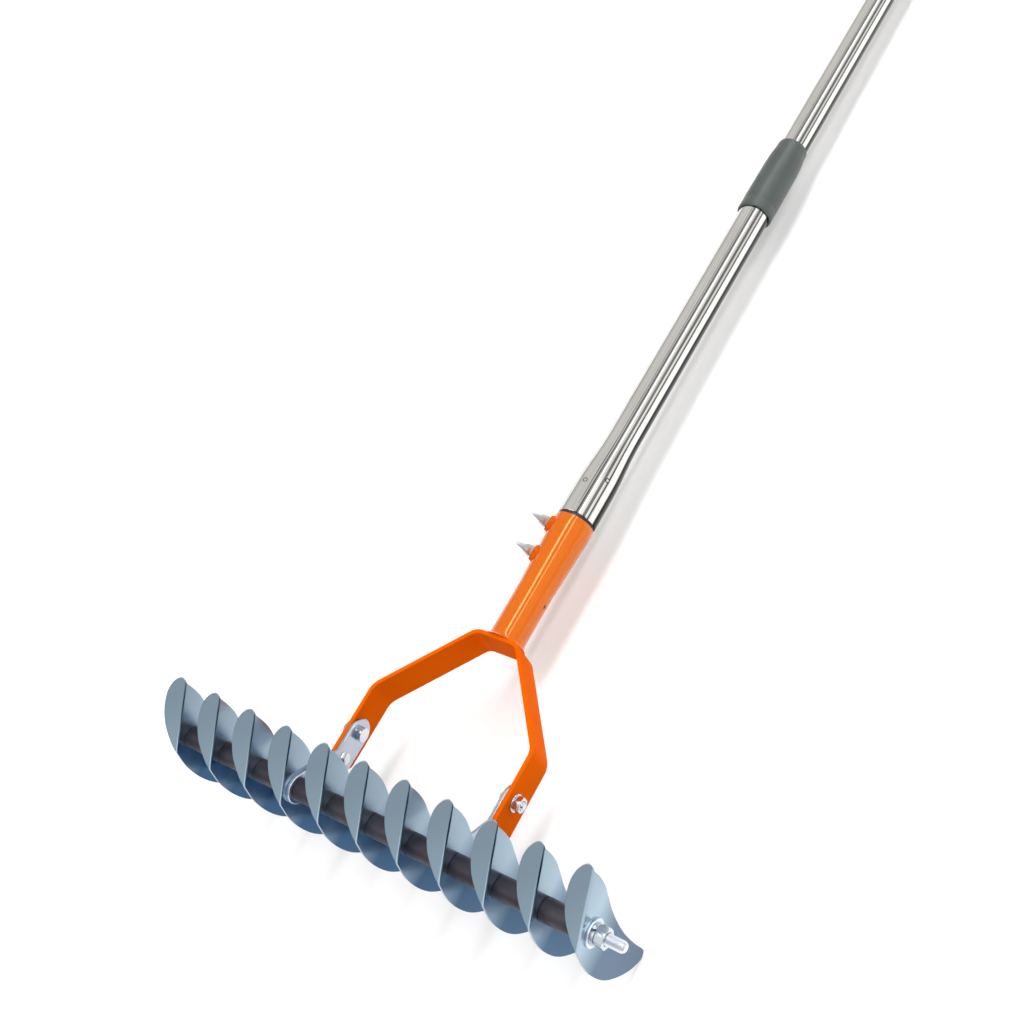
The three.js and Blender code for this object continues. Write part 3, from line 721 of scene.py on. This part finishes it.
socket = [(16.6, SEAT_Y), (15.2, SEAT_Y + 0.9), (14.3, SEAT_Y + 2.4), (13.7, SEAT_Y + 4.6),
          (13.45, SEAT_Y + 8), (SOCKET_R, 190), (SOCKET_R, 203), (13.5, 207)]
socket += [(socket_r(y), y) for y in range(212, 256, 6)]
socket += [(MOUTH_R, 256), (MOUTH_R, MOUTH_Y - 0.5), (15.4, MOUTH_Y), (14.8, MOUTH_Y), (14.6, 264.6),
           (14.6, 255), (12.4, FLARE_Y), (12.4, SEAT_Y)]
piece("socket_steel", lathe(socket, 128), GLOSS_PAINT, "frame", "socket_tube",
      sharp=50)
piece("socket_weld_bead", socket_bead(), WELD, "frame")

# a pin hole's rim low on the socket, both sides, with a dark disc in it as painted shade for the hole's
# inside
pin_hole = (0, PIN_HOLE_Y, AXIS_Z)
rim = lathe(rounded(tube_profile(1.2, 1.75, 13.2, 13.47), 0.1), 40, pin_hole, "X")
# the dark disc is painted shade, not a part
plug = lathe(tube_profile(0.01, 1.25, 12.9, 13.44), 40, pin_hole, "X")
for _, sign in SIDES:
    piece(f"pin_hole_rim_{sign + 2}", on_side(rim, sign), PAINT, "frame")
    piece(f"pin_hole_bore_{sign + 2}", on_side(plug, sign), INNER_AND_SHADE, "frame")


# ---- weld nuts and wing screws, built along -X and leaned up ----
def leaned(part):
    return turned(part, SCREW_LEAN, "Y", AT_AXIS)


def horn(y, hub_x, sign):
    """A pointed ear: rounded sections rising along -X and leaning out along Y."""
    # (height, middle, half width, half thickness)
    keys = [(-0.2, 2.6, 2.7, 4.1), (1.5, 3.0, 2.9, 3.8), (4.0, 4.3, 3.3, 3.0), (7.0, 5.8, 2.9, 2.2),
            (10.0, 7.3, 2.0, 1.4), (12.2, 8.2, 1.1, 0.9), (12.9, 8.4, 0.5, 0.5), (13.0, 8.45, 0.05, 0.05)]
    steps, sides, least = 42, 28, 0.04
    middles = spline([(h, c, 0) for h, c, _, _ in keys], steps)
    sizes = spline([(a, b, 0) for _, _, a, b in keys], steps)
    verts = []
    for p, q in zip(middles, sizes):
        for k in range(sides):
            a = 2 * math.pi * k / sides
            ca, sa = math.cos(a), math.sin(a)
            square = (abs(ca) ** 3 + abs(sa) ** 3) ** (-1 / 3)
            verts.append((hub_x - p.x, y + sign * (p.y + max(least, q.x) * ca * square),
                          AXIS_Z + max(least, q.y) * sa * square))
    return verts, skin(len(middles), sides) + end_faces(len(middles), sides)


def nut_bead(y):
    """A rippled bead where a weld nut meets the socket."""
    ring, section, radius = 72, 8, 6.1
    verts = []
    for k in range(ring):
        a = 2 * math.pi * k / ring
        thick = 0.7 + 0.15 * abs(math.sin(a * 9 + y))
        across, up = y + radius * math.cos(a), radius * math.sin(a)
        surface = -math.sqrt(max(0.0, socket_r(across) ** 2 - up * up))
        for j in range(section):
            b = 2 * math.pi * j / section
            r = radius + thick * math.cos(b)
            verts.append((surface - 0.1 + thick * math.sin(b), y + r * math.cos(a),
                          AXIS_Z + r * math.sin(a)))
    return verts, skin(ring, section, loop=True)


for tag, y in SCREWS:
    wall = socket_r(y - 6)
    face = -(wall + 2.4)
    tip = -(socket_r(y) - SOCKET_WALL + 0.35)
    hub_x = face - 0.4
    body = f"{tag}_screw"
    piece(f"{tag}_weld_hex", leaned(hexagon(11, face, -wall + 1.0, y, AXIS_Z, bore=3.4)), PAINT,
          "frame", f"{tag}_weld_nut", sharp=25)
    piece(f"{tag}_nut_weld", leaned(nut_bead(y)), WELD, "frame")
    shank = threaded(BOLT_R, hub_x - 0.6, tip, y, AXIS_Z, **M6)
    hub = [(0.01, hub_x - 6.6), (2.6, hub_x - 6.6), (3.4, hub_x - 5.6), (4.8, hub_x - 0.8),
           (4.6, hub_x), (0.01, hub_x)]
    hub = lathe(rounded(hub, 0.8), 56, (0, y, AXIS_Z), "X")
    piece(f"{tag}_wing_shank", leaned(merge(shank, hub)), ZINC_CAST, body,
          sharp=30)
    ears = turned(merge(horn(y, hub_x, 1), horn(y, hub_x, -1)), WING_TURN, "X", (0, y, AXIS_Z))
    piece(f"{tag}_wing_ears", leaned(ears), ZINC_CAST, body, f"{tag}_wing_screw",
          sharp=50)


# ---- handle tubes ----
def clamp_sleeve():
    """A split ring inside the collar."""
    steps, half_split = 70, math.asin(1 / 12)
    wall = tube_profile(11.8, 12.7, 612.5, 641)
    verts = []
    for k in range(steps + 1):
        a = math.pi / 2 + half_split + (2 * math.pi - 2 * half_split) * k / steps
        verts += [(r * math.cos(a), y, AXIS_Z + r * math.sin(a)) for r, y in wall]
    return verts, skin(steps + 1, len(wall)) + end_faces(steps + 1, len(wall))


spigot = socket_r(MOUTH_Y) - SOCKET_WALL
low_r, flare_r = socket_r(LOWER_FROM), socket_r(FLARE_Y)
lower = [(low_r - SOCKET_WALL, LOWER_FROM), (flare_r - SOCKET_WALL, FLARE_Y), (spigot, 255),
         (spigot, BELL_FROM), (15.0, BELL_FROM), (15.25, 267.8), (BELL_R, 268.3), (BELL_R, 285),
         (15.35, 298), (15.2, 304), (14.8, 311), (14.1, 320), (13.4, 329), (13.0, 337), (12.85, 343),
         (LOWER_R, 350), (LOWER_R, 420), (LOWER_R, 500), (LOWER_R, LOWER_TO), (LOWER_BORE, LOWER_TO),
         (LOWER_BORE, 340), (13.2, 318), (14.4, 303), (14.4, 272), (spigot - 0.9, 269.6),
         (spigot - 0.9, 255), (flare_r - 2.2, FLARE_Y), (low_r - 2.2, LOWER_FROM)]
piece("lower_tube_steel", lathe(lower, 128), POLISHED_PAINTED_REFLECTIONS, "frame", "lower_tube",
      sharp=50)
# a dark ring set in the mouth's gap: painted shadow where the socket's mouth shades the tube
gap_shadow_ring = rounded(tube_profile(spigot, spigot + 0.15, 262.5, 267.5), 0.05)
piece("mouth_gap_ring", lathe(gap_shadow_ring, 96), INNER_AND_SHADE, "frame")

# two pressed dimples where the bell starts to narrow, each with a dark ring as painted shade on its
# sloping wall
dimple_shade_ring = lathe(rounded([(1.1, 15.0), (2.0, 15.0), (1.85, 15.42), (1.25, 15.42)], 0.12), 36,
                    (0, 0, 0), "X")
dimple_dish = lathe([(0.01, 15.0), (1.2, 15.0), (1.1, 15.36), (0.5, 15.33), (0.01, 15.32)], 32,
                    (0, 0, 0), "X")
for k, (y, degrees) in enumerate(DIMPLES, 1):
    seat = Matrix.Translation((0, y, AXIS_Z)) @ Matrix.Rotation(-math.radians(degrees), 4, "Y")
    piece(f"bell_dimple_ring_{k}", moved(dimple_shade_ring, seat), SPACER_AND_SHADE, "frame")
    piece(f"bell_dimple_{k}", moved(dimple_dish, seat), POLISHED_PAINTED_REFLECTIONS, "frame")

upper = [(UPPER_BORE, UPPER_FROM), (UPPER_R, UPPER_FROM)]
upper += [(UPPER_R, y) for y in range(560, 1400, 80)] + [(UPPER_R, UPPER_TO), (UPPER_BORE, UPPER_TO)]
piece("upper_tube_steel", lathe(upper, 128), POLISHED_PAINTED_REFLECTIONS, "upper_handle", "upper_tube",
      sharp=50)
bush = rounded([(6, 476), (11.2, 476), (UPPER_R, 477), (UPPER_R, 481.9), (10.6, 481.9), (10.6, 500),
                (6, 500)], 0.3)
piece("upper_tube_bush", lathe(bush, 64), INNER_AND_SHADE, "upper_handle", "upper_tube_plug")
piece("clamp_sleeve_ring", clamp_sleeve(), INNER_AND_SHADE, "frame", "clamp_sleeve")
collar = [(13.1, 578), (14.2, 578), (14.7, 578.6), (14.8, 580), (14.8, 586), (14.6, 587),
          (14.6, 588.4), (14.8, 589.4), (14.55, 628), (14.2, 638), (13.9, 642), (13.3, 647),
          (12.95, 650), (12.9, 654), (12.6, 655), (11.95, 655), (11.9, 654.5), (11.9, 648), (13.1, 643)]
piece("collar_shell", lathe(collar, 128), PLASTIC, "collar_body", "collar", sharp=40)

# ---- grip and cap ----
grip = [(11.7, 1236), (13.6, 1236), (14.8, 1236.8), (15.4, 1239), (GRIP_R, 1242)]
for k in range(GRIP_RIBS):
    y = 1250 + k * GRIP_RIB_PITCH
    grip += [(GRIP_R, y), (15.1, y + 0.6), (14.6, y + 1.6), (14.6, y + 2.6), (15.1, y + 3.6),
             (GRIP_R, y + 4.2)]
grip += [(GRIP_R, 1396.5), (15.3, 1399), (14.8, 1400), (11.7, 1400)]
piece("grip_sleeve", lathe(grip, 96), RUBBER, "upper_handle", "hand_grip", sharp=50)
cap = rounded([(0.01, 1404.05), (11.7, 1404.05), (11.7, 1400.1), (15.0, 1400.1), (15.1, 1412),
               (13.9, 1428), (10.5, 1437), (6.5, 1440), (0.01, 1440)], 0.8, 4)
cap_shell = piece("end_cap_shell", lathe(cap, 96), RUBBER, "upper_handle", "end_cap",
                  sharp=50)

# hanging slot through the cap
slot_end = arc((0, 0), CAP_SLOT_R, -90, 90, 16)
slot_ring = ([(CAP_SLOT_HALF + a, b) for a, b in slot_end]
             + [(-CAP_SLOT_HALF - a, -b) for a, b in slot_end])
slot_points = [(x, CAP_SLOT_Y + y, z) for z in (AXIS_Z - 30, AXIS_Z + 30) for x, y in slot_ring]
cutter = linked("slot_cutter", laid_mesh("slot_cutter", (slot_points, extruded(len(slot_ring)))))
mod = cap_shell.modifiers.new("slot", "BOOLEAN")
mod.operation = "DIFFERENCE"
mod.solver = "EXACT"
mod.object = cutter
bpy.context.view_layer.update()
depsgraph = bpy.context.evaluated_depsgraph_get()
cut_mesh = bpy.data.meshes.new_from_object(cap_shell.evaluated_get(depsgraph))
cap_shell.modifiers.remove(mod)
cap_shell.data = cut_mesh
cut_mesh.shade_smooth()
cut_mesh.set_sharp_from_angle(angle=math.radians(40))
bpy.data.objects.remove(cutter)

# ---- floor, light, camera; metres ----
FLOOR_HALF, FLOOR_Z, FLOOR_TONE = 6, -0.0005, 0.93
floor_mesh = bpy.data.meshes.new("floor")
floor_mesh.from_pydata([(x * FLOOR_HALF, y * FLOOR_HALF, FLOOR_Z)
                        for x, y in ((-1, -1), (1, -1), (1, 1), (-1, 1))], [], [(0, 1, 2, 3)])
floor = linked("floor", floor_mesh)
floor_material = bpy.data.materials.new("floor")
floor_material.use_nodes = True
floor_bsdf = floor_material.node_tree.nodes["Principled BSDF"]
floor_bsdf.inputs["Base Color"].default_value = (*grey(FLOOR_TONE), 1)
floor_bsdf.inputs["Roughness"].default_value = 0.9
floor_mesh.materials.append(floor_material)

# from the right-hand horizon over the top to the left-hand one, with two bright strips
SKY = ((0.0, grey(0.06)), (0.03, grey(0.08)), (0.346, grey(0.085)), (0.354, grey(0.7)),
       (0.376, grey(0.7)), (0.384, grey(0.07)), (0.468, grey(0.07)), (0.478, grey(1.0)),
       (0.522, grey(1.0)), (0.532, (0.073, 0.072, 0.07)), (0.85, (0.07, 0.069, 0.067)),
       (1.0, grey(0.045)))
SKY_DIM, SKY_STRENGTH = 0.08, 9.0
world = bpy.data.worlds.new("studio")
bpy.context.scene.world = world
world.use_nodes = True
wt = world.node_tree
background = wt.nodes["Background"]
towards = split_coordinates(wt, "Generated")
height = calculate(wt, "ARCTAN2", towards["Z"], towards["X"])
sky = ramp(wt, calculate(wt, "DIVIDE", height, math.pi), *SKY)
# the strips fade out towards -Y, beyond the head, so that the blades do not mirror them
reach = calculate(wt, "MULTIPLY_ADD", towards["Y"], 0.5, 0.5)
bright = ramp(wt, reach, (0.25, grey(0.0)), (0.42, grey(1.0)))
dimmed = mix_colours(wt, "MIX", bright, (*grey(SKY_DIM), 1), sky)
wt.links.new(dimmed, background.inputs["Color"])
background.inputs["Strength"].default_value = SKY_STRENGTH


def soft_light(name, place, aim, size, watts):
    data = bpy.data.lights.new(name, "AREA")
    data.shape = "RECTANGLE"
    data.size, data.size_y = size
    data.energy = watts
    lamp = linked(name, data)
    lamp.location = place
    lamp.rotation_euler = (Vector(aim) - Vector(place)).to_track_quat("-Z", "Y").to_euler()


soft_light("key", (-0.9, -1.6, 1.8), (0, -0.6, 0.05), (1.4, 1.0), 4)
soft_light("fill", (1.6, 0.2, 1.4), (0, -0.5, 0.05), (1.2, 1.6), 1.5)

CAMERA_PLACE, CAMERA_TURN, CAMERA_LENS = (0.5192, -0.8037, 0.8735), (33.97, 20.959, 30.433), 49.33
camera_data = bpy.data.cameras.new("camera")
camera_data.lens = CAMERA_LENS
camera_data.clip_start = 0.02
camera = linked("camera", camera_data)
camera.location = CAMERA_PLACE
camera.rotation_euler = Euler([math.radians(a) for a in CAMERA_TURN], "XYZ")
bpy.context.scene.camera = camera
bpy.context.scene.view_settings.view_transform = "Standard"
